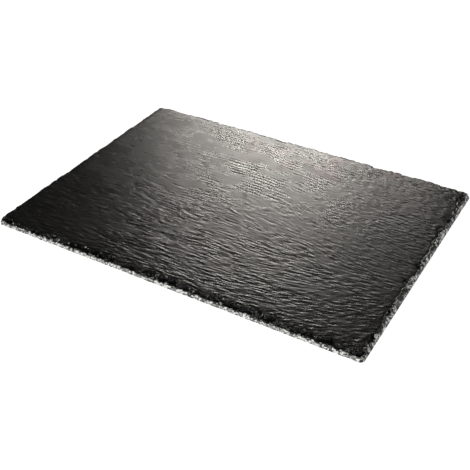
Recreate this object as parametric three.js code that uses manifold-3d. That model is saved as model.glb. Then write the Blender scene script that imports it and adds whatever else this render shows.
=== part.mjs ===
// A thin rectangular slab of black slate, split along its cleavage and trimmed by hand, lying flat.
// Millimetres, +Z up. The origin is the middle of the underside, +X runs along the long side
// and +Y towards the back edge.

import * as THREE from "three";
import { mergeVertices } from "three/addons/utils/BufferGeometryUtils.js";
import Module from "manifold-3d";

const { lerp, smoothstep, degToRad } = THREE.MathUtils;
const wasm = await Module();
wasm.setup();

// Driving dimensions: the slab is widest at its underside
const slabLength = 400;
const slabWidth = 295;
const slabThickness = 5.4;

// Corners of the underside's outline
const cornerRadius = { frontLeft: 8, frontRight: 4.5, backRight: 6 };
const backLeftSweep = { alongBack: 14, alongLeft: 6 };

// The trimmed edge: a steep crushed face below, flake scars above it that bite into the top
const edgePoints = 340;
const edgeBand = 13;
const crushedFoot = { height: 1.3, inset: 0.5, rough: 0.4 };
const crushedTop = { height: 3.7, spread: 0.45 };
const crushedInset = { front: 1.7, right: 3.3, back: 1.7, left: 1.7 };
const crushedInsetSpread = { front: 0.3, right: 1.4, back: 0.3, left: 0.3 };
const crushedLength = 4.1;
const scarPitch = 14;
const scarPitchSpread = 0.55;
const scarOverlap = 0.6;
const scarLeastInset = 2.7;
const scarLeastReach = 0.7;
const scarHollow = 0.09;
const scarUndercut = 0.12;
const rimRagged = { size: 4.6, depth: 1.5 };
const rimTorn = { size: 8, shift: 5 };
const cornerReach = 17;
const cornerBite = { frontLeft: 2.6, frontRight: 3.6, backRight: 0.4, backLeft: 0.4 };

// How far a flake scar usually bites into each side
const usualBite = { front: 4.2, right: 2.6, back: 1.3, left: 1.2 };

// Single large scars: the middle along the side, the length along it and the bite
const largeScars = [
  { side: "front", middle: -151, length: 14, bite: 4.2 },
  { side: "front", middle: -131, length: 20, bite: 5.6 },
  { side: "front", middle: -104, length: 25, bite: 5.2 },
  { side: "front", middle: -79, length: 22, bite: 7.6 },
  { side: "front", middle: -62, length: 18, bite: 8.4 },
  { side: "front", middle: -38, length: 21, bite: 5.0 },
  { side: "front", middle: -15, length: 25, bite: 8.8 },
  { side: "front", middle: 7, length: 20, bite: 7.2 },
  { side: "front", middle: 33, length: 19, bite: 5.2 },
  { side: "front", middle: 56, length: 21, bite: 7.8 },
  { side: "front", middle: 74, length: 15, bite: 6.0 },
  { side: "front", middle: 93, length: 23, bite: 8.4 },
  { side: "front", middle: 112, length: 18, bite: 6.4 },
  { side: "front", middle: 139, length: 27, bite: 5.4 },
  { side: "front", middle: 165, length: 19, bite: 7.0 },
  { side: "front", middle: 185, length: 13, bite: 5.2 },
  { side: "right", middle: -118, length: 19, bite: 5.2 },
  { side: "right", middle: -82, length: 14, bite: 3.8 },
  { side: "right", middle: -36, length: 15, bite: 5.4 },
  { side: "right", middle: -8, length: 13, bite: 4.8 },
  { side: "right", middle: 38, length: 16, bite: 3.6 },
  { side: "right", middle: 62, length: 18, bite: 4.4 },
  { side: "right", middle: 122, length: 21, bite: 5.0 },
  { side: "back", middle: 97, length: 13, bite: 4.0 },
  { side: "back", middle: -23, length: 9, bite: 5.2 },
  { side: "left", middle: 85, length: 9, bite: 4.6 },
];

// The riven top: long low ripples that follow the grain
const topColumns = 27;
const topRows = 78;
const rippleLength = 27;
const rippleWidth = 4.7;
const rippleHeight = 0.26;
const swellSize = 85;
const swellHeight = 0.16;
const grainStep = 9;
const grainSteps = [-36, -27, -18, -9, 0, 9, 18, 27, 36];

// Ledges where a leaf of slate ends: the top is lower on the front side of each line
const ledges = [
  { from: [-100, -86], to: [44, -76], drop: 0.26 },
  { from: [-88, -43], to: [-36, -38], drop: 0.16 },
  { from: [-60, 51], to: [16, 59], drop: 0.14 },
  { from: [-104, -115], to: [-26, -110], drop: 0.2 },
  { from: [-92, -96], to: [-10, -92], drop: 0.18 },
  { from: [52, -79], to: [82, -74], drop: 0.24 },
  { from: [58, -57], to: [96, -49], drop: 0.16 },
];
const ledgeFade = 16;
const ledgeRise = 1.5;
const ledgeBreaks = 17;

// Shallow hollows where a thin leaf came away from the underside
const undersideHollows = [
  { at: [-118, 62], along: 58, across: 30, turn: 6, depth: 0.45 },
  { at: [104, 78], along: 44, across: 24, turn: -12, depth: 0.35 },
  { at: [62, -82], along: 76, across: 26, turn: 10, depth: 0.5 },
  { at: [-96, -74], along: 34, across: 40, turn: -20, depth: 0.3 },
];
const hollowPoints = 24;
const hollowWobble = 0.22;

const slateColour = 0x2c2b29;

const halfLength = slabLength / 2;
const halfWidth = slabWidth / 2;
const fieldX = halfLength - edgeBand;
const fieldY = halfWidth - edgeBand;

// A repeatable random number from 0 to 1 for each key.
function chance(key) {
  const wave = Math.sin(key * 12.9898 + 4.137) * 43758.5453;
  return wave - Math.floor(wave);
}

// Random levels from -1 to 1 at whole steps of u and v, joined smoothly.
function smoothChance(u, v, seed) {
  const column = Math.floor(u);
  const row = Math.floor(v);
  const level = (i, j) => 2 * chance(i * 57.31 + j * 131.7 + seed) - 1;
  const along = smoothstep(u - column, 0, 1);
  const across = smoothstep(v - row, 0, 1);
  const low = lerp(level(column, row), level(column + 1, row), along);
  const high = lerp(level(column, row + 1), level(column + 1, row + 1), along);
  return lerp(low, high, across);
}

// The grain's direction in degrees from +X: it rises towards the front right corner and falls
// behind the middle, most of all right of the centre.
function grainAngle(x, y) {
  const rising = 33 * smoothstep(x, 10, 215) * (1 - smoothstep(y, -100, -25));
  const dip = smoothstep(x, -10, 70) * (1 - smoothstep(x, 105, 185)) * (1 - smoothstep(y, 60, 110));
  const falling = smoothstep(y, -75, 10) * (7 + 22 * dip);
  return 7 - 4 * smoothstep(x, -120, -20) + rising - falling;
}

// Ripples of several fixed directions, each strong only where the grain runs its way.
function ripple(x, y) {
  const angle = grainAngle(x, y);
  let height = 0;
  for (const step of grainSteps) {
    const share = Math.max(0, 1 - Math.abs(angle - step) / grainStep);
    if (share === 0) continue;
    const turn = degToRad(step);
    const along = x * Math.cos(turn) + y * Math.sin(turn);
    const across = y * Math.cos(turn) - x * Math.sin(turn);
    height += share * smoothChance(along / rippleLength, across / rippleWidth, step);
  }
  return height * rippleHeight;
}

// How much a ledge lowers the top: all of its drop just in front of its line, then less and less.
// Here and there the line is broken.
function ledgeDrop(ledge, x, y) {
  const [x0, y0] = ledge.from;
  const [x1, y1] = ledge.to;
  const along = (x - x0) / (x1 - x0);
  if (along <= 0 || along >= 1) return 0;
  const line = lerp(y0, y1, along) + 1.6 * smoothChance(x / 9, y0, 3);
  const infront = line - y;
  const taper = Math.min(1, 5 * along, 5 * (1 - along));
  const whole = smoothstep(smoothChance(x / ledgeBreaks, y0, 41), -0.5, 0.6);
  const step = smoothstep(infront, -ledgeRise, ledgeRise);
  return ledge.drop * taper * whole * step * (1 - smoothstep(infront, ledgeRise, ledgeFade));
}

function topHeight(x, y) {
  let height = slabThickness + ripple(x, y);
  height += swellHeight * smoothChance(x / swellSize, y / swellSize, 71);
  for (const ledge of ledges) height -= ledgeDrop(ledge, x, y);
  return height;
}

// The underside's outline, anticlockwise from the middle of the front-left corner.
function undersideOutline() {
  const { frontLeft, frontRight, backRight } = cornerRadius;
  const { alongBack, alongLeft } = backLeftSweep;
  const path = new THREE.Path();
  const corner = (x, y, radius, start, end) =>
    path.absarc(x, y, radius, degToRad(start), degToRad(end));
  corner(-halfLength + frontLeft, -halfWidth + frontLeft, frontLeft, 225, 270);
  corner(halfLength - frontRight, -halfWidth + frontRight, frontRight, 270, 360);
  corner(halfLength - backRight, halfWidth - backRight, backRight, 0, 90);
  path.lineTo(-halfLength + alongBack, halfWidth);
  path.quadraticCurveTo(-halfLength + alongLeft / 3, halfWidth, -halfLength, halfWidth - alongLeft);
  corner(-halfLength + frontLeft, -halfWidth + frontLeft, frontLeft, 180, 225);
  return path.getSpacedPoints(edgePoints).slice(0, edgePoints);
}

// The point of the top field's border that an outline point faces.
function facingPoint(point) {
  const x = THREE.MathUtils.clamp(point.x, -fieldX, fieldX);
  const y = THREE.MathUtils.clamp(point.y, -fieldY, fieldY);
  return new THREE.Vector2(x, y);
}

// The side that an outline point is on, and how far along that side it lies.
function sideOf(point) {
  const toEnds = halfLength - Math.abs(point.x);
  const toSides = halfWidth - Math.abs(point.y);
  if (toEnds < toSides) return { side: point.x > 0 ? "right" : "left", along: point.y };
  return { side: point.y > 0 ? "back" : "front", along: point.x };
}

// Flake scars all the way round: small ones at an uneven pitch, then the large ones.
function flakeScars() {
  const scars = [];
  const sides = { front: halfLength, right: halfWidth, back: halfLength, left: halfWidth };
  let key = 0;
  for (const [side, half] of Object.entries(sides)) {
    let middle = -half;
    while (middle < half) {
      key += 1;
      const length = scarPitch * (1 + scarPitchSpread * (2 * chance(key) - 1));
      const bite = usualBite[side] * (0.3 + chance(key + 500));
      scars.push({ side, middle: middle + length / 2, length: length * 2 * scarOverlap, bite });
      middle += length;
    }
  }
  return scars.concat(largeScars);
}

const scars = flakeScars();
const sideNames = ["front", "right", "back", "left"];

// The bite at a corner, which fades out within its reach.
function cornerBiteAt(point) {
  const corner = (point.y < 0 ? "front" : "back") + (point.x < 0 ? "Left" : "Right");
  const toCorner = Math.hypot(halfLength - Math.abs(point.x), halfWidth - Math.abs(point.y));
  return cornerBite[corner] * (1 - smoothstep(toCorner, 0, cornerReach));
}

// How far the edge of the top face lies inside the underside's outline.
function rimInset(point) {
  const { side, along } = sideOf(point);
  const number = sideNames.indexOf(side);
  const torn = along / rimTorn.size;
  const shift = 0.6 * smoothChance(torn, number, 5) + 0.4 * smoothChance(2.6 * torn, number, 8);
  let bite = cornerBiteAt(point);
  for (const scar of scars) {
    if (scar.side !== side) continue;
    const offset = (along + rimTorn.shift * shift - scar.middle) / (scar.length / 2);
    if (Math.abs(offset) < 1) bite = Math.max(bite, scar.bite * Math.sqrt(1 - offset * offset));
  }
  const ragged = smoothChance(point.x / rimRagged.size, point.y / rimRagged.size, 19);
  return scarLeastInset + Math.max(0, bite + rimRagged.depth * ragged);
}

// One loop of the edge: each outline point moved in by its inset and up to its height.
function edgeLoop(outline, place) {
  return outline.map((point, i) => {
    const { inset, height } = place(point, i);
    const inner = point.clone().lerp(facingPoint(point), inset / edgeBand);
    return new THREE.Vector3(inner.x, inner.y, height ?? topHeight(inner.x, inner.y));
  });
}

// The loops from the underside up to the rim of the top face.
function edgeLoops(outline) {
  const rims = outline.map(rimInset);
  const rough = (i, seed) => 2 * chance(i * 1.7 + seed) - 1;
  const crush = outline.map((point, i) => {
    const { side } = sideOf(point);
    const uneven = smoothChance(point.x / crushedLength, point.y / crushedLength, 91);
    const inset = crushedInset[side] + crushedInsetSpread[side] * uneven;
    const undercut = scarUndercut * (rims[i] - scarLeastInset);
    return {
      inset: Math.min(inset, rims[i] - scarLeastReach),
      height: crushedTop.height + crushedTop.spread * rough(i, 47) - undercut,
    };
  });
  const foot = (point, i) => ({
    inset: crushedFoot.inset + crushedFoot.rough * rough(i, 13),
    height: crushedFoot.height + crushedFoot.rough * rough(i, 29),
  });
  const scar = (point, i) => {
    const { inset, height } = crush[i];
    const reach = rims[i] - inset;
    return { inset: inset + reach / 2, height: lerp(height, slabThickness, 0.5) - scarHollow * reach };
  };
  return [
    edgeLoop(outline, () => ({ inset: 0, height: 0 })),
    edgeLoop(outline, foot),
    edgeLoop(outline, (point, i) => crush[i]),
    edgeLoop(outline, scar),
    edgeLoop(outline, (point, i) => ({ inset: rims[i] })),
  ];
}

// How far round the top field's border a point of it lies, from the front-left corner.
function borderPlace(point) {
  const long = 2 * fieldX;
  const short = 2 * fieldY;
  if (point.y <= -fieldY && point.x > -fieldX) return point.x + fieldX;
  if (point.x >= fieldX) return long + point.y + fieldY;
  if (point.y >= fieldY) return long + short + fieldX - point.x;
  return point.y > -fieldY ? 2 * long + short + fieldY - point.y : 0;
}

class Surface {
  constructor() {
    this.points = [];
    this.faces = [];
  }

  add(point) {
    this.points.push(point.x, point.y, point.z);
    return this.points.length / 3 - 1;
  }

  // Two triangles for each step between loops with the same number of points.
  band(lower, upper) {
    lower.forEach((a, i) => {
      const next = (i + 1) % lower.length;
      this.faces.push(a, lower[next], upper[next], a, upper[next], upper[i]);
    });
  }

  // Triangles between two loops with different numbers of points, by their places round the border.
  bridge(outer, outerPlaces, inner, innerPlaces) {
    let i = 0;
    let j = 0;
    while (i < outer.length || j < inner.length) {
      const a = outer[i % outer.length];
      const b = inner[j % inner.length];
      const stepOuter = j === inner.length || (i < outer.length && outerPlaces[i + 1] <= innerPlaces[j + 1]);
      if (stepOuter) i += 1;
      else j += 1;
      const next = stepOuter ? outer[i % outer.length] : inner[j % inner.length];
      this.faces.push(a, next, b);
    }
  }

  geometry() {
    const made = new THREE.BufferGeometry();
    made.setAttribute("position", new THREE.Float32BufferAttribute(this.points, 3));
    made.setIndex(this.faces);
    return made;
  }
}

// The top field: a grid of points at the riven height, and its border as a loop.
function addTopField(surface) {
  const grid = [];
  for (let row = 0; row <= topRows; row += 1) {
    const line = [];
    for (let column = 0; column <= topColumns; column += 1) {
      const x = lerp(-fieldX, fieldX, column / topColumns);
      const y = lerp(-fieldY, fieldY, row / topRows);
      line.push(surface.add(new THREE.Vector3(x, y, topHeight(x, y))));
    }
    grid.push(line);
  }
  for (let row = 0; row < topRows; row += 1) {
    for (let column = 0; column < topColumns; column += 1) {
      const a = grid[row][column];
      const b = grid[row][column + 1];
      const c = grid[row + 1][column + 1];
      const d = grid[row + 1][column];
      surface.faces.push(a, b, c, a, c, d);
    }
  }
  const border = [];
  for (let column = 0; column < topColumns; column += 1) border.push(grid[0][column]);
  for (let row = 0; row < topRows; row += 1) border.push(grid[row][topColumns]);
  for (let column = topColumns; column > 0; column -= 1) border.push(grid[topRows][column]);
  for (let row = topRows; row > 0; row -= 1) border.push(grid[row][0]);
  return border;
}

// The whole slab with a plain flat underside.
function rivenSlab() {
  const surface = new Surface();
  const outline = undersideOutline();
  const loops = edgeLoops(outline).map((loop) => loop.map((point) => surface.add(point)));
  for (let i = 1; i < loops.length; i += 1) surface.band(loops[i - 1], loops[i]);

  const border = addTopField(surface);
  const wholeWay = 4 * (fieldX + fieldY);
  const outerPlaces = outline.map((point, i) => {
    const place = borderPlace(facingPoint(point));
    return i > edgePoints / 2 && place === 0 ? wholeWay : place;
  });
  const innerPlaces = border.map((index) => {
    const [x, y] = surface.points.slice(3 * index, 3 * index + 2);
    return borderPlace(new THREE.Vector2(x, y));
  });
  surface.bridge(loops.at(-1), [...outerPlaces, wholeWay], border, [...innerPlaces, wholeWay]);

  const underside = THREE.ShapeUtils.triangulateShape(outline, []);
  for (const [a, b, c] of underside) surface.faces.push(loops[0][a], loops[0][c], loops[0][b]);
  return surface.geometry();
}

// A closed geometry as a solid for joining and cutting.
function solidOf(geometry) {
  const bare = geometry.clone();
  bare.deleteAttribute("normal");
  bare.deleteAttribute("uv");
  const merged = mergeVertices(bare, 1e-4);
  return new wasm.Manifold(
    new wasm.Mesh({
      numProp: 3,
      vertProperties: merged.attributes.position.array,
      triVerts: new Uint32Array(merged.index.array),
    }),
  );
}

// The stone that is missing at one hollow of the underside: a low plug with a ragged outline.
function hollowPlug(hollow, seed) {
  const shape = new THREE.Shape();
  for (let i = 0; i < hollowPoints; i += 1) {
    const turn = (2 * Math.PI * i) / hollowPoints;
    const reach = 1 - hollowWobble * chance(seed * 31 + i);
    const x = hollow.along * reach * Math.cos(turn);
    const y = hollow.across * reach * Math.sin(turn);
    if (i === 0) shape.moveTo(x, y);
    else shape.lineTo(x, y);
  }
  const plug = new THREE.ExtrudeGeometry(shape, { depth: 1 + hollow.depth, bevelEnabled: false });
  plug.rotateZ(degToRad(hollow.turn));
  plug.translate(hollow.at[0], hollow.at[1], -1);
  return solidOf(plug);
}

function slateSlab() {
  let stone = solidOf(rivenSlab());
  undersideHollows.forEach((hollow, i) => {
    stone = stone.subtract(hollowPlug(hollow, i + 1));
  });
  const cut = stone.getMesh();
  const geometry = new THREE.BufferGeometry();
  geometry.setAttribute("position", new THREE.BufferAttribute(cut.vertProperties, 3));
  geometry.setIndex(new THREE.BufferAttribute(cut.triVerts, 1));
  geometry.computeVertexNormals();
  const slate = new THREE.MeshStandardMaterial({
    color: slateColour,
    roughness: 0.5,
    metalness: 0,
    flatShading: true,
  });
  const mesh = new THREE.Mesh(geometry, slate);
  mesh.name = "slate_slab";
  return mesh;
}

const part = new THREE.Group();
part.add(slateSlab());

export default part;
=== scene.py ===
# Slab of riven black slate with hand-trimmed edges, lying on a pale studio floor.
# Shapes are worked out in millimetres and written to the meshes in metres.

import math

import bpy
import numpy as np
from mathutils import Matrix, Vector


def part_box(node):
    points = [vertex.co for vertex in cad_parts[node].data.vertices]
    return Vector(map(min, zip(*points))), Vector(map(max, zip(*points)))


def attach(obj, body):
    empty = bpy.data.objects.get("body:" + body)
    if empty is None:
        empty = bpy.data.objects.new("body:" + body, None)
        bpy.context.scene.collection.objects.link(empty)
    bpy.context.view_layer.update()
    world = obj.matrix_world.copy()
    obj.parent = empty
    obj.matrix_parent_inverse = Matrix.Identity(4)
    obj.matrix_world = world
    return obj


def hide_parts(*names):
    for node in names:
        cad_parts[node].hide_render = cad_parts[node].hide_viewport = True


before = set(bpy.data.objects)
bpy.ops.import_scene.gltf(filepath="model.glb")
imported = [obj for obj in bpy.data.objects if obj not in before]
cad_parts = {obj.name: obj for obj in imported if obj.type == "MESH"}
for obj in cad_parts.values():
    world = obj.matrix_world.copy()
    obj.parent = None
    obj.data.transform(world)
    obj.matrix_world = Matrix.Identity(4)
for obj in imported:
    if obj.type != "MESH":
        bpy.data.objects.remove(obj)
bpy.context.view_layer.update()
slabLow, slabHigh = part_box("slate_slab")

mm = 0.001
halfLength = (slabHigh.x - slabLow.x) / 2 / mm
halfWidth = (slabHigh.y - slabLow.y) / 2 / mm


# Camera: the photo's viewing angle on a 470 pixel square picture, in degrees and metres, with a 36 mm sensor
cameraView = {
    "azimuth": 29.787,
    "elevation": 35.462,
    "roll": 0.442,
    "distance": 0.8671,
    "aside": 0.00557,
    "above": 0.02678,
    "focalPixels": 831.8,
    "imagePixels": 470,
    "sensorWidth": 36.0,
    "clipStart": 0.01,
    "clipEnd": 80.0,
}


def makeCamera(view):
    azimuth, elevation = math.radians(view["azimuth"]), math.radians(view["elevation"])
    back = Vector((math.sin(azimuth) * math.cos(elevation),
                   -math.cos(azimuth) * math.cos(elevation),
                   math.sin(elevation)))
    right = Vector((0, 0, 1)).cross(back).normalized()
    up = back.cross(right)
    turn = Matrix((right, up, back)).transposed() @ Matrix.Rotation(math.radians(view["roll"]), 3, "Z")
    data = bpy.data.cameras.new("photoCamera")
    data.sensor_width = view["sensorWidth"]
    data.lens = view["focalPixels"] / view["imagePixels"] * view["sensorWidth"]
    data.clip_start, data.clip_end = view["clipStart"], view["clipEnd"]
    camera = bpy.data.objects.new("photoCamera", data)
    place = turn @ Vector((-view["aside"], -view["above"], view["distance"]))
    camera.matrix_world = Matrix.Translation(place) @ turn.to_4x4()
    bpy.context.scene.collection.objects.link(camera)
    bpy.context.scene.camera = camera
    return camera


makeCamera(cameraView)
print("camera set")


# Small helpers for node trees: values and sockets are both given by input name
def addNode(tree, kind, inputs=None, **settings):
    node = tree.nodes.new(kind)
    for name, value in settings.items():
        setattr(node, name, value)
    for name, value in (inputs or {}).items():
        if isinstance(value, bpy.types.NodeSocket):
            tree.links.new(value, node.inputs[name])
        else:
            node.inputs[name].default_value = value
    return node


def calc(tree, operation, *values, clamp=False):
    inputs = dict(enumerate(values))
    return addNode(tree, "ShaderNodeMath", inputs, operation=operation, use_clamp=clamp).outputs[0]


def vectorCalc(tree, operation, *values):
    node = addNode(tree, "ShaderNodeVectorMath", dict(enumerate(values)), operation=operation)
    return node.outputs["Value" if operation in ("DOT_PRODUCT", "LENGTH") else "Vector"]


def remap(tree, value, fromLow, fromHigh, toLow=0.0, toHigh=1.0, smooth=False):
    inputs = {"Value": value, "From Min": fromLow, "From Max": fromHigh, "To Min": toLow, "To Max": toHigh}
    kind = "SMOOTHSTEP" if smooth else "LINEAR"
    return addNode(tree, "ShaderNodeMapRange", inputs, interpolation_type=kind).outputs["Result"]


def mixColour(tree, share, first, second):
    node = addNode(tree, "ShaderNodeMix", data_type="RGBA")
    for index, value in ((0, share), (6, first), (7, second)):
        if isinstance(value, bpy.types.NodeSocket):
            tree.links.new(value, node.inputs[index])
        else:
            node.inputs[index].default_value = value
    return node.outputs[2]


def mixValue(tree, share, first, second):
    return addNode(tree, "ShaderNodeMix", {0: share, 2: first, 3: second}).outputs[0]


def alongAxis(tree, vector, axis):
    return addNode(tree, "ShaderNodeSeparateXYZ", {0: vector}).outputs[axis]


def scaled(tree, vector, scale):
    return addNode(tree, "ShaderNodeVectorMath", {0: vector, "Scale": scale}, operation="SCALE").outputs[0]


def turnedPlace(tree, place, degrees):
    return addNode(tree, "ShaderNodeVectorRotate", {"Vector": place, "Angle": -math.radians(degrees)},
                   rotation_type="Z_AXIS").outputs[0]


def total(tree, values):
    result = values[0]
    for value in values[1:]:
        result = calc(tree, "ADD", result, value)
    return result


# The slab's form: the same outline, flake scars and ledges as the solid, on a much finer mesh
slab = {
    "thickness": 5.4,
    "cornerRadius": {"frontLeft": 8.0, "frontRight": 4.5, "backRight": 6.0},
    "cornerPoints": 40,
    "backLeftSweep": {"alongBack": 14.0, "alongLeft": 6.0},
    "sweepTightness": 3,
    "sweepPoints": 60,
    "edgeStep": 1.1,
    "edgeBand": 13.0,
    "crushedHeight": 3.7,
    "crushedHeightSpread": 0.5,
    "crushedHeightGrain": (3.7, 1.5),
    "crushedInset": {"front": 1.7, "right": 3.3, "back": 1.7, "left": 1.7},
    "crushedInsetSpread": {"front": 0.5, "right": 2.4, "back": 0.5, "left": 0.5},
    "crushedInsetGrain": (4.1, 1.7),
    "crushedLean": 1.17,
    "scarPitch": 14.0,
    "scarPitchSpread": 0.55,
    "scarOverlap": 0.6,
    "leastInset": 2.7,
    "leastScar": 0.7,
    "leastBite": 0.3,
    "scarUndercut": 0.12,
    "scarHollow": 0.07,
    "scarLean": 1.5,
    "scarRivenFade": 3,
    "raggedSize": 4.6,
    "raggedDepth": 1.5,
    "nibbleSize": 2.1,
    "nibbleDepth": 0.9,
    "tearSize": 8.0,
    "tearShift": 5.0,
    "tearFineness": 2.6,
    "scarStep": 0.42,
    "treadSize": (16, 5),
    "treadShift": (0.9, 0.35),
    "treadDepth": 0.7,
    "treadEdge": 0.12,
    "rimRoll": 0.22,
    "rimRollWidth": 3.0,
    "rimRollSize": 9,
    "cornerReach": 17.0,
    "cornerBite": {"frontLeft": 2.6, "frontRight": 3.6, "backRight": 0.4, "backLeft": 0.4},
    "usualBite": {"front": 4.2, "right": 2.6, "back": 1.3, "left": 1.2},
    "rowStep": 0.7,
    "columnStep": 2.95,
    "fanColumnStep": 1.9,
    "fanStart": -20.0,
    "underStep": 6.0,
    "underMargin": (9.0, 4.0, 0.7),
    "swellSize": 85.0,
    "swellHeight": 0.16,
    "ledgeFade": 16.0,
    "ledgeRise": 0.6,
    "ledgeWander": 1.6,
    "ledgeWanderSize": 9,
    "ledgeTaper": 5,
    "ledgeBreaks": 17.0,
    "ledgeWhole": (-0.5, 0.6),
    "hollowRagged": 0.14,
    "hollowRaggedSize": (14, 9),
    "hollowEdge": 0.06,
}

# The shares of the way up the crushed face, up the scars and in from the rim that have a row of points
crushedRows = (0.16, 0.33, 0.5, 0.67, 0.84, 1.0)
scarRows = (0.1, 0.2, 0.3, 0.4, 0.5, 0.6, 0.7, 0.8, 0.88, 0.95)
rimRows = (0.0, 0.1, 0.26, 0.45, 0.66, 0.88)

# Large flake scars: side, middle along it, length and bite
largeScars = [
    ("front", -151, 14, 4.2), ("front", -131, 20, 5.6), ("front", -104, 25, 5.2), ("front", -79, 22, 7.6),
    ("front", -62, 18, 8.4), ("front", -38, 21, 5.0), ("front", -15, 25, 8.8), ("front", 7, 20, 7.2),
    ("front", 33, 19, 5.2), ("front", 56, 21, 7.8), ("front", 74, 15, 6.0), ("front", 93, 23, 8.4),
    ("front", 112, 18, 6.4), ("front", 139, 27, 5.4), ("front", 165, 19, 7.0), ("front", 185, 13, 5.2),
    ("right", -118, 19, 5.2), ("right", -82, 14, 3.8), ("right", -36, 15, 5.4), ("right", -8, 13, 4.8),
    ("right", 38, 16, 3.6), ("right", 62, 18, 4.4), ("right", 122, 21, 5.0),
    ("back", 97, 13, 4.0), ("back", -23, 9, 5.2), ("left", 85, 9, 4.6),
]

# Ledges of the top where a leaf of slate ends: both ends of the line, and the drop in front of it
ledges = [
    ((-100, -86), (44, -76), 0.26), ((-88, -43), (-36, -38), 0.16), ((-60, 51), (16, 59), 0.14),
    ((-104, -115), (-26, -110), 0.2), ((-92, -96), (-10, -92), 0.18), ((52, -79), (82, -74), 0.24),
    ((58, -57), (96, -49), 0.16),
]

# Shallow hollows of the underside: middle, half length, half width, turn and depth
underHollows = [
    ((-118, 62), 58, 30, 6, 0.45), ((104, 78), 44, 24, -12, 0.35),
    ((62, -82), 76, 26, 10, 0.5), ((-96, -74), 34, 40, -20, 0.3),
]

# Direction of the grain in degrees from +X: level in front on the left, rising towards the
# front-right corner, and falling behind the middle, most of all right of the centre.
# The pairs are the stretches of X or Y over which it turns.
grainTurns = {
    "level": 7,
    "levelDrop": 4,
    "levelAcross": (-120, -20),
    "rise": 33,
    "riseAcross": (10, 215),
    "riseEnds": (-100, -25),
    "fall": 7,
    "fallStarts": (-75, 10),
    "dip": 22,
    "dipStarts": (-10, 70),
    "dipEnds": (105, 185),
    "dipFades": (60, 110),
}

# Seeds of the random levels; the hollow's is multiplied by how deep it is
seeds = {
    "swell": 71,
    "ledgeLine": 3,
    "ledgeWhole": 41,
    "hollow": 50,
    "bite": 500,
    "tears": (5, 8),
    "ragged": 19,
    "nibble": 37,
    "treads": (61, 67),
    "crushedInset": (91, 47),
    "crushedHeight": (13, 29),
    "rimRoll": 83,
}

# Shares of coarse and fine levels, and the numbers that make levels look random
coarseShare, fineShare = 0.6, 0.4
chanceStep, chanceStart, chanceGain = 12.9898, 4.137, 43758.5453
columnKey, rowKey = 57.31, 131.7

# What a point is marked as where nothing else is said
usualMarks = {"riven": 0.0, "crushed": 0.0, "scar": 0.0, "under": 0.0, "climb": 3.0}

sideNames = ("front", "right", "back", "left")
fieldX, fieldY = halfLength - slab["edgeBand"], halfWidth - slab["edgeBand"]


# A number from 0 to 1 that looks random and is always the same for the same key
def chance(key):
    wave = np.sin(np.asarray(key, float) * chanceStep + chanceStart) * chanceGain
    return wave - np.floor(wave)


def ease(value, low=0.0, high=1.0):
    share = np.clip((value - low) / (high - low), 0, 1)
    return share * share * (3 - 2 * share)


def mix(low, high, share):
    return low + (high - low) * share


# Random levels from -1 to 1 at whole steps of u and v, joined smoothly
def smoothChance(u, v, seed):
    column, row = np.floor(u), np.floor(v)

    def level(i, j):
        return 2 * chance(i * columnKey + j * rowKey + seed) - 1

    along, across = ease(u - column), ease(v - row)
    low = mix(level(column, row), level(column + 1, row), along)
    high = mix(level(column, row + 1), level(column + 1, row + 1), along)
    return mix(low, high, across)


# Random levels of a coarse and a fine size together
def grainyChance(x, y, name):
    coarse, fine = [smoothChance(x / size, y / size, seed)
                    for size, seed in zip(slab[name + "Grain"], seeds[name])]
    return coarseShare * coarse + fineShare * fine


def grainAngle(x, y):
    turns = grainTurns
    level = turns["level"] - turns["levelDrop"] * ease(x, *turns["levelAcross"])
    rising = turns["rise"] * ease(x, *turns["riseAcross"]) * (1 - ease(y, *turns["riseEnds"]))
    dip = ease(x, *turns["dipStarts"]) * (1 - ease(x, *turns["dipEnds"]))
    dip = turns["dip"] * dip * (1 - ease(y, *turns["dipFades"]))
    return level + rising - ease(y, *turns["fallStarts"]) * (turns["fall"] + dip)


def ledgeDrop(ledge, x, y):
    (x0, y0), (x1, y1), drop = ledge
    along = (x - x0) / (x1 - x0)
    wander = smoothChance(x / slab["ledgeWanderSize"], y0, seeds["ledgeLine"])
    infront = mix(y0, y1, along) + slab["ledgeWander"] * wander - y
    taper = np.clip(np.minimum(slab["ledgeTaper"] * along, slab["ledgeTaper"] * (1 - along)), 0, 1)
    whole = ease(smoothChance(x / slab["ledgeBreaks"], y0, seeds["ledgeWhole"]), *slab["ledgeWhole"])
    step = ease(infront, -slab["ledgeRise"], slab["ledgeRise"])
    return drop * taper * whole * step * (1 - ease(infront, slab["ledgeRise"], slab["ledgeFade"]))


def topHeight(x, y):
    swell = smoothChance(x / slab["swellSize"], y / slab["swellSize"], seeds["swell"])
    height = slab["thickness"] + slab["swellHeight"] * swell
    for ledge in ledges:
        height = height - ledgeDrop(ledge, x, y)
    return height


def underHeight(x, y):
    height = np.zeros_like(x)
    raggedX, raggedY = slab["hollowRaggedSize"]
    for (middleX, middleY), halfAlong, halfAcross, turn, depth in underHollows:
        cosine, sine = math.cos(math.radians(turn)), math.sin(math.radians(turn))
        u = ((x - middleX) * cosine + (y - middleY) * sine) / halfAlong
        v = ((y - middleY) * cosine - (x - middleX) * sine) / halfAcross
        ragged = smoothChance(x / raggedX, y / raggedY, depth * seeds["hollow"])
        edge = 1 - slab["hollowRagged"] * (1 + ragged)
        height = np.maximum(height, depth * (1 - ease(np.hypot(u, v), edge - slab["hollowEdge"], edge)))
    return height


def arc(x, y, radius, start, end):
    turn = np.radians(np.linspace(start, end, slab["cornerPoints"]))
    return np.column_stack((x + radius * np.cos(turn), y + radius * np.sin(turn)))


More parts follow.
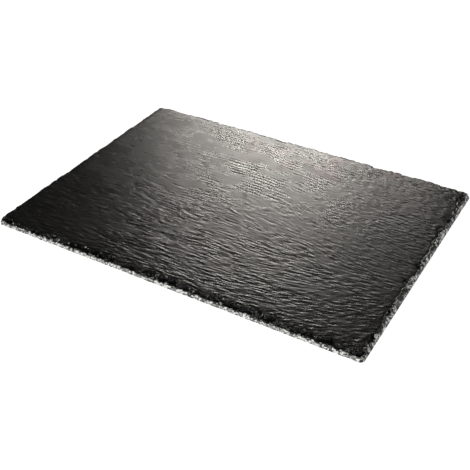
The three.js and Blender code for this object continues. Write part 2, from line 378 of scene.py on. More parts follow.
# The underside's outline, anticlockwise from the middle of the front-left corner
def undersideOutline():
    frontLeft, frontRight, backRight = slab["cornerRadius"].values()
    alongBack, alongLeft = slab["backLeftSweep"].values()
    bend = np.linspace(0, 1, slab["sweepPoints"])[:, None]
    start = np.array((-halfLength + alongBack, halfWidth))
    pull = np.array((-halfLength + alongLeft / slab["sweepTightness"], halfWidth))
    end = np.array((-halfLength, halfWidth - alongLeft))
    trace = np.vstack((
        arc(-halfLength + frontLeft, -halfWidth + frontLeft, frontLeft, 225, 270),
        arc(halfLength - frontRight, -halfWidth + frontRight, frontRight, 270, 360),
        arc(halfLength - backRight, halfWidth - backRight, backRight, 0, 90),
        start * (1 - bend) ** 2 + 2 * pull * bend * (1 - bend) + end * bend ** 2,
        arc(-halfLength + frontLeft, -halfWidth + frontLeft, frontLeft, 180, 225),
    ))
    run = np.concatenate(([0], np.cumsum(np.hypot(*np.diff(trace, axis=0).T))))
    places = np.linspace(0, run[-1], int(run[-1] / slab["edgeStep"]), endpoint=False)
    return np.column_stack([np.interp(places, run, trace[:, axis]) for axis in (0, 1)])


# The point of the top field's border that each outline point faces
def facingPoints(points):
    return np.clip(points, (-fieldX, -fieldY), (fieldX, fieldY))


def flakeScars():
    scars = []
    key = 0
    for side in sideNames:
        half = halfLength if side in ("front", "back") else halfWidth
        middle = -half
        while middle < half:
            key += 1
            length = slab["scarPitch"] * (1 + slab["scarPitchSpread"] * (2 * chance(key) - 1))
            bite = slab["usualBite"][side] * (slab["leastBite"] + chance(key + seeds["bite"]))
            scars.append((side, middle + length / 2, 2 * length * slab["scarOverlap"], bite))
            middle += length
    return scars + largeScars


# The side that each outline point belongs to, by its place in sideNames
def sideNumbers(points):
    x, y = points.T
    onEnd = halfLength - np.abs(x) < halfWidth - np.abs(y)
    return np.where(onEnd, np.where(x > 0, 1, 3), np.where(y > 0, 2, 0))


# How far the edge of the top face lies inside the underside's outline
def rimInset(points):
    x, y = points.T
    toEnds, toSides = halfLength - np.abs(x), halfWidth - np.abs(y)
    onEnd = toEnds < toSides
    side = sideNumbers(points)
    along = np.where(onEnd, y, x)
    torn = along / slab["tearSize"]
    coarse = smoothChance(torn, side, seeds["tears"][0])
    fine = smoothChance(slab["tearFineness"] * torn, side, seeds["tears"][1])
    along = along + slab["tearShift"] * (coarseShare * coarse + fineShare * fine)
    frontLeft, frontRight, backRight, backLeft = slab["cornerBite"].values()
    corner = np.where(y < 0, np.where(x < 0, frontLeft, frontRight), np.where(x < 0, backLeft, backRight))
    bite = corner * (1 - ease(np.hypot(toEnds, toSides), 0, slab["cornerReach"]))
    for name, middle, length, depth in flakeScars():
        offset = np.clip((along - middle) / (length / 2), -1, 1)
        bitten = depth * np.sqrt(1 - offset ** 2)
        bite = np.where(side == sideNames.index(name), np.maximum(bite, bitten), bite)
    for name in ("ragged", "nibble"):
        size = slab[name + "Size"]
        bite = bite + slab[name + "Depth"] * smoothChance(x / size, y / size, seeds[name])
    return slab["leastInset"] + np.maximum(0, bite)


# How far round the top field's border each point lies, from its front-left corner
def borderPlaces(points):
    x, y = points.T
    long, short = 2 * fieldX, 2 * fieldY
    return np.select(
        ((y <= -fieldY) & (x > -fieldX), x >= fieldX, y >= fieldY, y > -fieldY),
        (x + fieldX, long + y + fieldY, long + short + fieldX - x, 2 * long + short + fieldY - y),
        0.0)


class Surface:
    def __init__(self):
        self.points = []
        self.faces = []
        self.marks = {name: [] for name in usualMarks}
        self.count = 0

    # Adds rows of x, y, z and says which part of the stone they are; returns their numbers.
    # The climb is 0 at the foot of the edge, 1 where the scars start, 2 at the rim and 3 elsewhere.
    def add(self, points, **marks):
        self.points.append(points)
        for name, usual in usualMarks.items():
            self.marks[name].append(np.full(len(points), float(marks.get(name, usual))))
        self.count += len(points)
        return np.arange(self.count - len(points), self.count)

    def band(self, lower, upper):
        faces = np.column_stack((lower, np.roll(lower, -1), np.roll(upper, -1), upper))
        self.faces += faces.tolist()

    # Triangles between two loops with different numbers of points, by their places round the border
    def bridge(self, outer, outerPlaces, inner, innerPlaces, facingDown=False):
        i = j = 0
        whole = 4 * (fieldX + fieldY)
        outerEnds, innerEnds = np.append(outerPlaces[1:], whole), np.append(innerPlaces[1:], whole)
        while i < len(outer) or j < len(inner):
            a, b = int(outer[i % len(outer)]), int(inner[j % len(inner)])
            stepOuter = j == len(inner) or (i < len(outer) and outerEnds[i] <= innerEnds[j])
            i, j = (i + 1, j) if stepOuter else (i, j + 1)
            following = int(outer[i % len(outer)] if stepOuter else inner[j % len(inner)])
            self.faces.append([a, b, following] if facingDown else [a, following, b])

    # A grid over the field, facing up or down; returns its border as a loop
    def grid(self, columns, rows, height, facingDown=False, **marks):
        x, y = np.meshgrid(columns, rows)
        numbers = self.add(np.column_stack((x.ravel(), y.ravel(), height(x, y).ravel())), **marks)
        numbers = numbers.reshape(x.shape)
        corners = [numbers[:-1, :-1], numbers[:-1, 1:], numbers[1:, 1:], numbers[1:, :-1]]
        if facingDown:
            corners.reverse()
        faces = np.column_stack([corner.ravel() for corner in corners])

        # Each face is split from its first corner, so it starts at the one that the grain runs from
        falls = grainAngle(x[:-1, :-1], y[:-1, :-1]).ravel() < 0
        faces[falls] = np.roll(faces[falls], -1, axis=1)
        self.faces += faces.tolist()
        return np.concatenate((numbers[0, :-1], numbers[:-1, -1], numbers[-1, :0:-1], numbers[:0:-1, 0]))


# Broken leaves of slate: the slope of a scar is broken by thin uneven treads
def steppedScar(height, x, y):
    step = slab["scarStep"]
    level = height / step
    for size, shift, seed in zip(slab["treadSize"], slab["treadShift"], seeds["treads"]):
        level = level + shift * smoothChance(x / size, y / size, seed)
    tread = level - np.floor(level)
    return height + slab["treadDepth"] * step * (ease(tread, slab["treadEdge"], 1.0) - tread)


def buildSlab():
    surface = Surface()
    outline = undersideOutline()
    facing = facingPoints(outline)
    x, y = outline.T
    rim = rimInset(outline)
    reachIn = (facing - outline) / slab["edgeBand"]

    def loop(inset, height, **marks):
        place = outline + reachIn * np.broadcast_to(inset, len(outline))[:, None]
        level = height(*place.T) if callable(height) else height
        return surface.add(np.column_stack((place, np.broadcast_to(level, len(outline)))), **marks)

    side = sideNumbers(outline)
    usual, spread = [np.array([slab[name][key] for key in sideNames])[side]
                     for name in ("crushedInset", "crushedInsetSpread")]
    crushedInset = usual + spread * grainyChance(x, y, "crushedInset")
    crushedInset = np.minimum(crushedInset, rim - slab["leastScar"])
    crushedTop = (slab["crushedHeight"] + slab["crushedHeightSpread"] * grainyChance(x, y, "crushedHeight")
                  - slab["scarUndercut"] * (rim - slab["leastInset"]))

    # Underside margin, from the inside out, then up the crushed face
    loops = [loop(slab["underMargin"][0], underHeight, under=1)]
    loops += [loop(inset, 0.0, under=1) for inset in slab["underMargin"][1:]]
    loops.append(loop(0.0, 0.0, crushed=1, climb=0))
    for share in crushedRows:
        inset = crushedInset * share ** slab["crushedLean"]
        loops.append(loop(inset, crushedTop * share, crushed=1, climb=share))

    # Up the flake scars to the rim of the top face
    rimPlace = outline + reachIn * rim[:, None]
    rimHeight = topHeight(*rimPlace.T)
    reach = rim - crushedInset
    for share in scarRows:
        inset = crushedInset + reach * share
        hollow = slab["scarHollow"] * reach * 4 * share * (1 - share)
        height = mix(crushedTop, rimHeight, share ** slab["scarLean"]) - hollow
        place = outline + reachIn * inset[:, None]
        height = steppedScar(height, *place.T)
        loops.append(loop(inset, height, scar=1, riven=share ** slab["scarRivenFade"], climb=1 + share))
    for share in rimRows:
        inset = mix(rim, slab["edgeBand"], share)
        roll = slab["rimRoll"] * np.clip(1 - (inset - rim) / slab["rimRollWidth"], 0, 1) ** 2
        roll = roll * (1 + smoothChance(x / slab["rimRollSize"], y / slab["rimRollSize"], seeds["rimRoll"]))
        loops.append(loop(inset, lambda u, v: topHeight(u, v) - roll, riven=1))
    for lower, upper in zip(loops, loops[1:]):
        surface.band(lower, upper)

    # Closer columns on the right, where the grain rises and falls
    plain = int((slab["fanStart"] + fieldX) / slab["columnStep"])
    fanned = int((fieldX - slab["fanStart"]) / slab["fanColumnStep"])
    columns = np.concatenate((np.linspace(-fieldX, slab["fanStart"], plain, endpoint=False),
                              np.linspace(slab["fanStart"], fieldX, fanned)))
    rows = np.linspace(-fieldY, fieldY, int(2 * fieldY / slab["rowStep"]))
    top = surface.grid(columns, rows, topHeight, riven=1)
    underColumns = np.linspace(-fieldX, fieldX, int(2 * fieldX / slab["underStep"]))
    underRows = np.linspace(-fieldY, fieldY, int(2 * fieldY / slab["underStep"]))
    under = surface.grid(underColumns, underRows, underHeight, facingDown=True, under=1)

    places = borderPlaces(facing)
    places[(np.arange(len(places)) > len(places) / 2) & (places == 0)] = 4 * (fieldX + fieldY)
    points = np.vstack(surface.points)
    surface.bridge(loops[-1], places, top, borderPlaces(points[top, :2]))
    surface.bridge(loops[0], places, under, borderPlaces(points[under, :2]), facingDown=True)

    mesh = bpy.data.meshes.new("slateSlab")
    mesh.from_pydata((points * mm).tolist(), [], surface.faces)
    marks = {name: np.concatenate(values) for name, values in surface.marks.items()}
    marks["grain"] = grainAngle(points[:, 0], points[:, 1])
    for name, values in marks.items():
        attribute = mesh.attributes.new(name, "FLOAT", "POINT")
        attribute.data.foreach_set("value", values.astype(np.float32))
    piece = bpy.data.objects.new("slateSlab", mesh)
    bpy.context.scene.collection.objects.link(piece)
    return piece


slateSlab = buildSlab()
print("slab blank made:", len(slateSlab.data.vertices), "points")


# The riven surface and the crushed edge, laid over the blank by a node tree
rivenSurface = {
    "Ripple Height": 0.57,
    "Ripple Width": 1.38,
    "Ripple Length": 9.0,
    "Straight Length": 12.0,
    "Line Pitch": 4.6,
    "Line Length": 30.0,
    "Line Wander": 20.0,
    "Line Shift": 1.8,
    "Line Height": 0.085,
    "Dash Length": 12.0,
    "Dash Width": 5.0,
    "Turn Size": 14.0,
    "Turn Spread": 10.0,
    "Patch Size": 26.0,
    "Ripple Skew": 1.1,
    "Leaf Step": 0.1,
    "Gash Depth": 0.21,
    "Gash Width": 3.0,
    "Gash Length": 11.0,
    "Pebble Height": 0.05,
    "Pebble Size": 1.9,
    "Pebble Gain": 9.0,
    "Facet Size": 2.4,
    "Facet Stretch": 1.3,
    "Facet Depth": 0.5,
    "Facet Warp": 3.2,
    "Warp Size": 2.2,
    "Seed": 4,
}

# Directions of the ripples in degrees from +X
grainStep = 9
grainSteps = range(-4 * grainStep, 5 * grainStep, grainStep)

# Where the forms come and go: a measure from one value to another, and what it becomes at each.
# Lined and those that end in Behind or Right go by millimetres from the slab's middle.
rivenRanges = {
    "lined": (-30.0, 70.0, 0.0, 0.93),
    "dashed": (-0.12, 0.12, 0.6, 1.1),
    "itsOwnWay": (0.32 * grainStep, 0.68 * grainStep, 1.0, 0.0),
    "leafEdge": (0.36, 0.64),
    "crisp": (0.0, 0.93, 0.55, 0.08),
    "rough": (0.32, 0.68, 0.8, 1.15),
    "calmBehind": (-10.0, 120.0, 1.0, 0.56),
    "calmPebbly": (0.0, 1.0, 1.0, 0.4),
    "pebbledBehind": (-60.0, 120.0, 0.35, 1.0),
    "pebbledRight": (-60.0, 60.0, 0.3, 1.0),
    "pebblyBehind": (-30.0, 40.0),
    "pebblyRight": (30.0, 110.0),
    "gashed": (0.15, 0.18),
    "gashedBehind": (0.0, 70.0, 1.0, 0.2),
    "aboveTable": (0.0, 1.1),
}

# Fixed values of the tree, some of them shared with the slate's colours
pebbleSquash = (0.6, 1.0, 1.0)
underShare = 0.8
facetTilt = 0.9
seedStep = 17.3
lineSeed, gashSeed = 57.0, 31.0
noiseMiddle = 0.5
crispCrush = 0.5


def namedValue(tree, name):
    node = addNode(tree, "GeometryNodeInputNamedAttribute", {"Name": name}, data_type="FLOAT")
    return node.outputs["Attribute"]


def rippleNoise(tree, place, seed):
    noise = addNode(tree, "ShaderNodeTexNoise", {
        "Vector": place, "W": seed, "Scale": 1.0, "Detail": 1.0, "Roughness": 0.5,
        "Lacunarity": 2.0, "Distortion": 0.1}, noise_dimensions="4D")
    return calc(tree, "SUBTRACT", noise.outputs[0], noiseMiddle)


# The place that facets are cut from: warped, so that their edges wander, and squeezed
def facetPlace(tree, place, warpScale, warpGain, squeeze):
    uneven = addNode(tree, "ShaderNodeTexNoise", {
        "Vector": place, "Scale": warpScale, "Detail": 1.0}).outputs["Color"]
    warp = scaled(tree, vectorCalc(tree, "SUBTRACT", uneven, (noiseMiddle,) * 3), warpGain)
    return vectorCalc(tree, "MULTIPLY", vectorCalc(tree, "ADD", place, warp), squeeze)


def rivenTree(settings, material):
    tree = bpy.data.node_groups.new("rivenSurface", "GeometryNodeTree")
    tree.interface.new_socket("Geometry", in_out="INPUT", socket_type="NodeSocketGeometry")
    for name, value in settings.items():
        kind = "NodeSocketInt" if isinstance(value, int) else "NodeSocketFloat"
        tree.interface.new_socket(name, in_out="INPUT", socket_type=kind).default_value = value
    tree.interface.new_socket("Geometry", in_out="OUTPUT", socket_type="NodeSocketGeometry")
    size = tree.nodes.new("NodeGroupInput").outputs
    place = scaled(tree, addNode(tree, "GeometryNodeInputPosition").outputs[0], 1 / mm)
    rightward, behind = alongAxis(tree, place, "X"), alongAxis(tree, place, "Y")
    grain, riven = namedValue(tree, "grain"), namedValue(tree, "riven")
    crushed, under = namedValue(tree, "crushed"), namedValue(tree, "under")
    seed = calc(tree, "MULTIPLY", size["Seed"], seedStep)

    def ranged(value, name, smooth=False):
        return remap(tree, value, *rivenRanges[name], smooth=smooth)

    def oneOver(name):
        return calc(tree, "DIVIDE", 1.0, size[name])

    # Noise for patches of a named size
    def patchNoise(name):
        return addNode(tree, "ShaderNodeTexNoise", {
            "Vector": place, "W": seed, "Scale": oneOver(name), "Detail": 1.0},
            noise_dimensions="4D").outputs[0]

    # The place of a noise that has a named length and width
    def stretch(place, length, width):
        scale = addNode(tree, "ShaderNodeCombineXYZ", {0: oneOver(length), 1: oneOver(width)}).outputs[0]
        return vectorCalc(tree, "MULTIPLY", place, scale)

    # The grain's direction changes from patch to patch, by up to a few degrees
    unevenness = calc(tree, "SUBTRACT", patchNoise("Turn Size"), noiseMiddle)
    grain = calc(tree, "MULTIPLY_ADD", unevenness, size["Turn Spread"], grain)

    # Fine even lines that wander a little; they take over from the ripples towards the back
    lined = ranged(behind, "lined")
    dashes = rippleNoise(tree, stretch(place, "Dash Length", "Dash Width"), seed)
    lineHeight = calc(tree, "MULTIPLY", size["Line Height"], ranged(dashes, "dashed"))

    def fineLines(turned, seed):
        wander = rippleNoise(tree, stretch(turned, "Line Length", "Line Wander"), seed)
        phase = calc(tree, "DIVIDE", alongAxis(tree, turned, "Y"), size["Line Pitch"])
        phase = calc(tree, "MULTIPLY_ADD", wander, size["Line Shift"], phase)
        wave = calc(tree, "SINE", calc(tree, "MULTIPLY", phase, math.tau))
        return calc(tree, "MULTIPLY", wave, lineHeight)

    # Ripples and gashes in fixed directions, each strong only where the grain runs its way
    ripples, gashes = [], []
    for index, step in enumerate(grainSteps):
        away = calc(tree, "ABSOLUTE", calc(tree, "SUBTRACT", grain, float(step)))
        share = calc(tree, "SQRT", ranged(away, "itsOwnWay", smooth=True))
        turned = turnedPlace(tree, place, step)
        length = "Straight Length" if step in (0, grainStep) else "Ripple Length"
        stretched = stretch(turned, length, "Ripple Width")
        rippleSeed = calc(tree, "ADD", seed, float(index))
        level = rippleNoise(tree, stretched, rippleSeed)

        # Leaning over to the front: a steep short face and a long gentle back
        lean = addNode(tree, "ShaderNodeCombineXYZ", {1: calc(tree, "MULTIPLY", level, size["Ripple Skew"])})
        level = rippleNoise(tree, vectorCalc(tree, "ADD", stretched, lean.outputs[0]), rippleSeed)
        lines = fineLines(turned, calc(tree, "ADD", seed, index + lineSeed))
        ripples.append(calc(tree, "MULTIPLY", mixValue(tree, lined, level, lines), share))
        gash = rippleNoise(tree, stretch(turned, "Gash Length", "Gash Width"),
                           calc(tree, "ADD", seed, index + gashSeed))
        gashes.append(calc(tree, "MULTIPLY", gash, share))
    ripples, gashes = total(tree, ripples), total(tree, gashes)

    # Leaves: the ripples break into thin steps that end in crisp lines, and the fine lines hardly do
    fullHeight = calc(tree, "MULTIPLY", size["Ripple Height"], 2.0)
    leaf = calc(tree, "DIVIDE", size["Leaf Step"], fullHeight)
    height = calc(tree, "DIVIDE", ripples, leaf)
    whole = calc(tree, "FLOOR", height)
    edge = ranged(calc(tree, "SUBTRACT", height, whole), "leafEdge", smooth=True)
    leaves = calc(tree, "MULTIPLY", calc(tree, "ADD", whole, edge), leaf)
    relief = mixValue(tree, ranged(lined, "crisp"), ripples, leaves)
    relief = calc(tree, "MULTIPLY", relief, fullHeight)

    # Calmer and rougher patches
    relief = calc(tree, "MULTIPLY", relief, ranged(patchNoise("Patch Size"), "rough"))

    # Gashes, most of all in front: here and there a leaf is missing, with a steep edge to it
    gash = calc(tree, "MULTIPLY", ranged(gashes, "gashed"), ranged(behind, "gashedBehind"))
    relief = calc(tree, "SUBTRACT", relief, calc(tree, "MULTIPLY", gash, size["Gash Depth"]))

    # A finer pebbled grain that comes out towards the back and takes over at the back right
    pebbles = addNode(tree, "ShaderNodeTexNoise", {
        "Vector": vectorCalc(tree, "MULTIPLY", place, pebbleSquash), "W": seed,
        "Scale": oneOver("Pebble Size"), "Detail": 1.5, "Roughness": 0.5},
        noise_dimensions="4D").outputs[0]
    pebbles = calc(tree, "MULTIPLY", calc(tree, "SUBTRACT", pebbles, noiseMiddle), size["Pebble Height"])
    pebbled = calc(tree, "MULTIPLY", ranged(behind, "pebbledBehind"), ranged(rightward, "pebbledRight"))
    pebbly = calc(tree, "MULTIPLY", ranged(rightward, "pebblyRight"), ranged(behind, "pebblyBehind"))
    pebbled = calc(tree, "MULTIPLY_ADD", pebbly, size["Pebble Gain"], pebbled)
    calmer = calc(tree, "MULTIPLY", ranged(behind, "calmBehind"), ranged(pebbly, "calmPebbly"))
    relief = calc(tree, "ADD", calc(tree, "MULTIPLY", relief, calmer),
                  calc(tree, "MULTIPLY", calc(tree, "MULTIPLY", pebbles, 2.0), pebbled))

    # The underside only ever rises from the table
    lift = calc(tree, "MULTIPLY", relief, riven)
    underLift = calc(tree, "MULTIPLY", calc(tree, "MAXIMUM", relief, 0.0),
                     calc(tree, "MULTIPLY", under, underShare))
    lift = calc(tree, "ADD", lift, underLift)
    upward = addNode(tree, "ShaderNodeCombineXYZ", {2: calc(tree, "MULTIPLY", lift, mm)}).outputs[0]

    # Crushed face: each small cell is a flat facet with a tilt and a depth of its own
    squeeze = addNode(tree, "ShaderNodeCombineXYZ", {0: 1.0, 1: 1.0, 2: oneOver("Facet Stretch")}).outputs[0]
    squeezed = facetPlace(tree, place, oneOver("Warp Size"), size["Facet Warp"], squeeze)
    cells = addNode(tree, "ShaderNodeTexVoronoi", {
        "Vector": squeezed, "W": seed, "Scale": oneOver("Facet Size")},
        voronoi_dimensions="4D", feature="F1")
    tilt = vectorCalc(tree, "SUBTRACT", cells.outputs["Color"], (noiseMiddle,) * 3)
    fromMiddle = vectorCalc(tree, "SUBTRACT", squeezed, cells.outputs["Position"])
    facet = calc(tree, "MULTIPLY", vectorCalc(tree, "DOT_PRODUCT", fromMiddle, tilt), facetTilt)
    facet = calc(tree, "ADD", facet, alongAxis(tree, tilt, "X"))
    facet = calc(tree, "MULTIPLY", facet, size["Facet Depth"])
    facet = calc(tree, "MULTIPLY", calc(tree, "MULTIPLY", facet, crushed),
                 ranged(alongAxis(tree, place, "Z"), "aboveTable"))
    normal = addNode(tree, "GeometryNodeInputNormal").outputs[0]
    outward = scaled(tree, normal, calc(tree, "MULTIPLY", facet, mm))

    moved = addNode(tree, "GeometryNodeSetPosition", {
        "Geometry": size["Geometry"], "Offset": vectorCalc(tree, "ADD", upward, outward)})
    realized = addNode(tree, "GeometryNodeRealizeInstances", {"Geometry": moved.outputs[0]})
    finished = addNode(tree, "GeometryNodeSetMaterial", {
        "Geometry": realized.outputs[0], "Material": material})
    out = tree.nodes.new("NodeGroupOutput")
    tree.links.new(finished.outputs[0], out.inputs[0])
    return tree


# Black slate: dark satin cleavage faces, matt black scars whose black is partly painted shade, pale crushed
# edges
slateLook = {
    "stone": (0.0046, 0.0045, 0.0042, 1),
    "stoneLight": (0.0092, 0.0090, 0.0083, 1),
    # Painted pink tint of the sheen on patches towards the back, with the faint colour that goes with it
    "pinkSheen": (0.013, 0.0088, 0.0092, 1),
    "pinkSheenTint": (1.0, 0.86, 0.90, 1),
    "pinkSheenPlace": (0.06, 0.115, 0),
    "pinkSheenReach": (0.15, 0.055),
    # Scar colour: the fracture's own black, deepened with painted shade because the scars face the front
    "scarStoneAndShade": (0.0018, 0.0018, 0.0017, 1),
    "crushedDark": (0.030, 0.030, 0.029, 1),
    "crushedGrey": (0.20, 0.20, 0.195, 1),
    "crushedPale": (0.86, 0.86, 0.83, 1),
    "scarSheen": 0.22,
    "stoneSheen": 0.5,
    "missingChips": 0.7,
    # Painted highlight: the grey of the thin pale lines in the scars
    "wispHighlight": (0.16, 0.16, 0.155, 1),
    "roughness": (0.24, 0.30),
    "dullRoughness": 0.8,
    "fibreLength": 0.0070,
    "fibreWidth": 0.0015,
    "fibreHeight": 0.00014,
    "streakShare": 0.6,
    "crackWidth": 0.095,
    "paleFoot": 0.6,
    "mostPale": 0.97,
    "speckleShare": 0.5,
    "leafShare": 0.9,
    "gritHeight": 0.000008,
    "rubbleHeight": 0.0005,
}
white = (1, 1, 1, 1)

# Directions of the fibres in degrees from +X
fibreStep = 18
fibreSteps = range(-2 * fibreStep, 3 * fibreStep, fibreStep)

# Noises of the slate: scale, detail, roughness, and how much finer it is along X, Y and Z
slateNoises = {
    "clouds": (14, 4, 0.5, (0.6, 1, 1)),
    "pinkSheen": (30, 4, 0.6),
    "ridges": (150, 3, 0.6),
    "paintedWisps": (75, 1),
    "speckle": (900, 3, 0.6),
    "missing": (230, 1),
    "leaves": (1, 2, 0.6, (250, 250, 2600)),
    "cracks": (480, 2),
    "satin": (70, 4, 0.6, (0.4, 1, 1)),
    "grit": (1 / 0.0007, 2, 0.6),
}

# Where each look comes and goes: a measure from one value to another, and what it becomes at each
slateRanges = {
    "clouds": (0.35, 0.7),
    "streaks": (0.0, 0.25),
    "pinkSheenReach": (0.4, 1.3, 1.0, 0.0),
    "pinkSheen": (0.45, 0.62),
    "ridges": (0.006, 0.02, 1.0, 0.0),
    "paintedWisps": (0.48, 0.58),
    "wispyScar": (0.6, 0.9),
    "rightEdge": (0.188, 0.195),
    "missing": (0.42, 0.62),
    "paleTop": (0.0, 1.0, 1.3, 1.85),
    "pale": (-0.04, 0.04),
    "white": (0.05, 0.48),
    "cracks": (0.38, 0.62),
    "crackEdge": (-0.02, 0.02, 1.0, 0.0),
    "satin": (0.3, 0.7),
}


def slateMaterial(look):
    material = bpy.data.materials.new("rivenSlate")
    material.use_nodes = True
    tree = material.node_tree
    tree.nodes.clear()
    place = addNode(tree, "ShaderNodeTexCoord").outputs["Object"]

    def attribute(name):
        return addNode(tree, "ShaderNodeAttribute", attribute_name=name).outputs["Fac"]

    def layer(scale, detail, roughness=0.5, finer=(1, 1, 1)):
        vector = vectorCalc(tree, "MULTIPLY", place, finer)
        return addNode(tree, "ShaderNodeTexNoise", {
            "Vector": vector, "Scale": scale, "Detail": detail, "Roughness": roughness}).outputs[0]

    def noise(name):
        return layer(*slateNoises[name])

    def ranged(value, name, smooth=False):
        return remap(tree, value, *slateRanges[name], smooth=smooth)

    crushed, scar, climb, grain = [attribute(name) for name in ("crushed", "scar", "climb", "grain")]
    edgeShare = calc(tree, "MAXIMUM", crushed, scar)

    # Fibres along the grain, in fixed directions that fade into one another
    fibres = []
    finer = (1 / look["fibreLength"], 1 / look["fibreWidth"], 1 / look["fibreWidth"])
    for step in fibreSteps:
        away = calc(tree, "ABSOLUTE", calc(tree, "SUBTRACT", grain, float(step)))
        share = calc(tree, "SUBTRACT", 1.0, calc(tree, "DIVIDE", away, float(fibreStep)), clamp=True)
        streak = addNode(tree, "ShaderNodeTexNoise", {
            "Vector": vectorCalc(tree, "MULTIPLY", turnedPlace(tree, place, step), finer), "Scale": 1.0,
            "Detail": 1.0, "Roughness": 0.5}).outputs[0]
        streak = calc(tree, "SUBTRACT", streak, noiseMiddle)
        fibres.append(calc(tree, "MULTIPLY", streak, calc(tree, "SQRT", share)))
    fibres = total(tree, fibres)

    colour = mixColour(tree, ranged(noise("clouds"), "clouds"), look["stone"], look["stoneLight"])
    streaks = calc(tree, "MULTIPLY", ranged(fibres, "streaks"), look["streakShare"])
    colour = mixColour(tree, streaks, colour, look["stoneLight"])

    # Faint pinkish patches on the top, towards the back where the sheen is brightest: a painted pink tint of
    # the reflection, given to the sheen and faintly to the colour
    reachX, reachY = look["pinkSheenReach"]
    reach = vectorCalc(tree, "MULTIPLY", vectorCalc(tree, "SUBTRACT", place, look["pinkSheenPlace"]),
                       (1 / reachX, 1 / reachY, 0))
    near = ranged(vectorCalc(tree, "LENGTH", reach), "pinkSheenReach", smooth=True)
    pinkSheen = calc(tree, "MULTIPLY", ranged(noise("pinkSheen"), "pinkSheen", smooth=True), near)
    pinkSheen = calc(tree, "MULTIPLY", pinkSheen, attribute("riven"))
    colour = mixColour(tree, pinkSheen, colour, look["pinkSheen"])
    # The scars are made blacker than the cleavage faces: partly their own dark fracture, partly painted
    # shade where they face the front, away from the lights behind
    colour = mixColour(tree, scar, colour, look["scarStoneAndShade"])

    # Thin pale lines painted in the scars: painted highlights where the sheen catches the edges of leaves
    ridge = calc(tree, "ABSOLUTE", calc(tree, "SUBTRACT", noise("ridges"), noiseMiddle))
    paintedWisps = calc(tree, "MULTIPLY", ranged(ridge, "ridges"), ranged(noise("paintedWisps"), "paintedWisps"))
    paintedWisps = calc(tree, "MULTIPLY", paintedWisps, ranged(scar, "wispyScar"))
    colour = mixColour(tree, paintedWisps, colour, look["wispHighlight"])

    # Crushed chips, coloured by the same cells that cut the facets
    squeezed = facetPlace(tree, place, 1 / (rivenSurface["Warp Size"] * mm), rivenSurface["Facet Warp"] * mm,
                          (1, 1, 1 / rivenSurface["Facet Stretch"]))
    facetInputs = {"Vector": squeezed, "W": rivenSurface["Seed"] * seedStep,
                   "Scale": 1 / (rivenSurface["Facet Size"] * mm)}
    cells = addNode(tree, "ShaderNodeTexVoronoi", facetInputs, voronoi_dimensions="4D", feature="F1")
    chances = addNode(tree, "ShaderNodeSeparateColor", {0: cells.outputs["Color"]})
    gap = addNode(tree, "ShaderNodeTexVoronoi", facetInputs, voronoi_dimensions="4D",
                  feature="DISTANCE_TO_EDGE").outputs["Distance"]
    speckle = noise("speckle")
    spread = calc(tree, "MULTIPLY", calc(tree, "SUBTRACT", speckle, noiseMiddle), look["speckleShare"])
    level = calc(tree, "ADD", chances.outputs[1], spread)

    # On the right side whole groups of chips are missing
    rightward = ranged(alongAxis(tree, place, "X"), "rightEdge")
    missing = calc(tree, "MULTIPLY", ranged(noise("missing"), "missing"), look["missingChips"])
    level = calc(tree, "MULTIPLY_ADD", missing, rightward, level)

    # Fewer of the chips are pale the higher they lie
    paleLimit = remap(tree, climb, look["paleFoot"], ranged(rightward, "paleTop"), look["mostPale"], 0.0)
    paleShare = ranged(calc(tree, "SUBTRACT", paleLimit, level), "pale")
    paleShare = calc(tree, "MULTIPLY", paleShare, edgeShare)
    leaves = calc(tree, "SUBTRACT", noise("leaves"), noiseMiddle)
    whiteness = calc(tree, "MULTIPLY_ADD", leaves, look["leafShare"], spread)
    whiteness = calc(tree, "ADD", chances.outputs[2], whiteness)
    chipColour = mixColour(tree, ranged(whiteness, "white"), look["crushedGrey"], look["crushedPale"])
    crackWidth = remap(tree, noise("cracks"), *slateRanges["cracks"], 0.0, look["crackWidth"])
    crack = ranged(calc(tree, "SUBTRACT", gap, crackWidth), "crackEdge")
    chipColour = mixColour(tree, crack, chipColour, look["crushedDark"])
    rawColour = mixColour(tree, crushed, colour, look["crushedDark"])
    colour = mixColour(tree, paleShare, rawColour, chipColour)

    roughness = remap(tree, noise("satin"), *slateRanges["satin"], *look["roughness"])
    roughness = mixValue(tree, crushed, roughness, look["dullRoughness"])

    grit = calc(tree, "MULTIPLY", noise("grit"), look["gritHeight"])
    fibreLift = calc(tree, "MULTIPLY", fibres, look["fibreHeight"])
    rubble = calc(tree, "MULTIPLY", calc(tree, "MULTIPLY", speckle, look["rubbleHeight"]), edgeShare)
    height = total(tree, [grit, fibreLift, rubble])
    bump = addNode(tree, "ShaderNodeBump", {"Height": height, "Distance": 1.0, "Strength": 1.0})
    sheen = mixValue(tree, scar, look["stoneSheen"], look["scarSheen"])
    # The sheen on the pinkish patches is tinted pink: a painted reflection
    sheenTint = mixColour(tree, pinkSheen, white, look["pinkSheenTint"])
    shader = addNode(tree, "ShaderNodeBsdfPrincipled", {
        "Base Color": colour, "Roughness": roughness, "Normal": bump.outputs[0], "Metallic": 0.0,
        "Specular IOR Level": sheen, "Specular Tint": sheenTint})
    out = addNode(tree, "ShaderNodeOutputMaterial", {"Surface": shader.outputs[0]})
    out.is_active_output = True
    return material


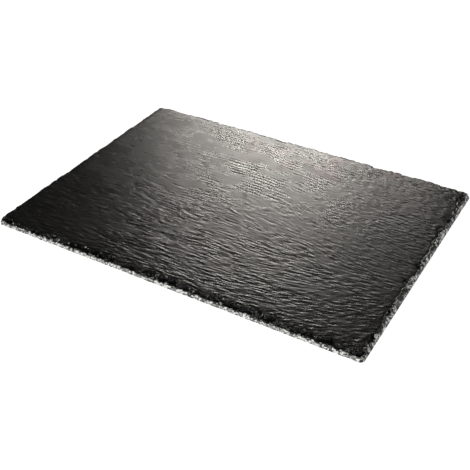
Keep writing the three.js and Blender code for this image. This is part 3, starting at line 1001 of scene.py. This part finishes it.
def finishSlab(piece):
    modifier = piece.modifiers.new("riven", "NODES")
    modifier.node_group = rivenTree(rivenSurface, slateMaterial(slateLook))
    for item in modifier.node_group.interface.items_tree:
        if item.in_out == "INPUT" and item.name in rivenSurface:
            modifier[item.identifier] = rivenSurface[item.name]
    depsgraph = bpy.context.evaluated_depsgraph_get()
    finished = bpy.data.meshes.new_from_object(
        piece.evaluated_get(depsgraph), preserve_all_data_layers=True, depsgraph=depsgraph)
    piece.modifiers.clear()
    piece.data = finished
    finished.name = "slateSlab"

    # Smooth cleavage faces, crisp facets on the crushed edge
    values = np.zeros(len(finished.vertices), np.float32)
    finished.attributes["crushed"].data.foreach_get("value", values)
    starts = np.zeros(len(finished.polygons), np.int32)
    finished.polygons.foreach_get("loop_start", starts)
    corners = np.zeros(len(finished.loops), np.int32)
    finished.loops.foreach_get("vertex_index", corners)
    crisp = np.minimum.reduceat(values[corners], starts) > crispCrush
    finished.polygons.foreach_set("use_smooth", ~crisp)
    finished.update()
    return piece


finishSlab(slateSlab)
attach(slateSlab, "root")
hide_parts("slate_slab")
print("riven surface laid:", len(slateSlab.data.polygons), "faces")


# Studio: a pale floor that turns up far off, two soft lights behind the slab that lie in its sheen
# (a large one far off and a small low one close by), and a soft front fill
studio = {
    "floorSize": 32.0,
    "floorRim": 2.0,
    "floorDrop": 0.0001,
    "floorColour": (0.82, 0.82, 0.82, 1),
    "floorRoughness": 0.9,
    "floorSheen": 0.1,
    "floorGlow": 0.76,
    "worldColour": (0.02, 0.02, 0.02, 1),
    "sheenPlace": (-2.05, 4.0, 2.3),
    "sheenSize": (1.24, 0.2),
    "sheenPower": 32.5,
    "sheenColour": (1.0, 0.96, 0.89),
    "lowPlace": (-0.17, 0.69, 0.33),
    "lowSize": (0.41, 0.09),
    "lowPower": 0.59,
    "lowColour": (1.0, 0.96, 0.89),
    "fillPlace": (0.2, -2.3, 1.9),
    "fillSize": (4.0, 1.5),
    "fillPower": 62.0,
    "fillColour": (1.0, 1.0, 1.0),
}


def softLight(name, place, target, size, power, colour):
    data = bpy.data.lights.new(name, "AREA")
    data.color = colour
    data.shape = "RECTANGLE"
    data.size, data.size_y = size
    data.energy = power
    light = bpy.data.objects.new(name, data)
    light.location = place
    light.rotation_mode = "QUATERNION"
    light.rotation_quaternion = (Vector(target) - Vector(place)).to_track_quat("-Z", "Y")
    bpy.context.scene.collection.objects.link(light)
    return light


def makeStudio(settings):
    size = settings["floorSize"] / 2
    mesh = bpy.data.meshes.new("studioFloor")
    corners = [(-size, -size), (size, -size), (size, size), (-size, size)]
    points = [(x, y, z) for z in (-settings["floorDrop"], settings["floorRim"]) for x, y in corners]
    walls = [((i + 1) % 4, i, i + 4, (i + 1) % 4 + 4) for i in range(4)]
    mesh.from_pydata(points, [], [(0, 1, 2, 3)] + walls)
    floor = bpy.data.objects.new("studioFloor", mesh)
    bpy.context.scene.collection.objects.link(floor)
    material = bpy.data.materials.new("palePaper")
    material.use_nodes = True
    shader = material.node_tree.nodes["Principled BSDF"]
    shader.inputs["Base Color"].default_value = settings["floorColour"]
    shader.inputs["Roughness"].default_value = settings["floorRoughness"]
    shader.inputs["Specular IOR Level"].default_value = settings["floorSheen"]
    shader.inputs["Emission Color"].default_value = white
    shader.inputs["Emission Strength"].default_value = settings["floorGlow"]
    mesh.materials.append(material)

    for name in ("sheen", "low", "fill"):
        softLight(name + "Light", settings[name + "Place"], (0, 0, 0), settings[name + "Size"],
                  settings[name + "Power"], settings[name + "Colour"])

    world = bpy.data.worlds.new("studioWorld")
    bpy.context.scene.world = world
    world.use_nodes = True
    world.node_tree.nodes["Background"].inputs["Color"].default_value = settings["worldColour"]
    bpy.context.scene.view_settings.view_transform = "Standard"


makeStudio(studio)
print("studio lit")
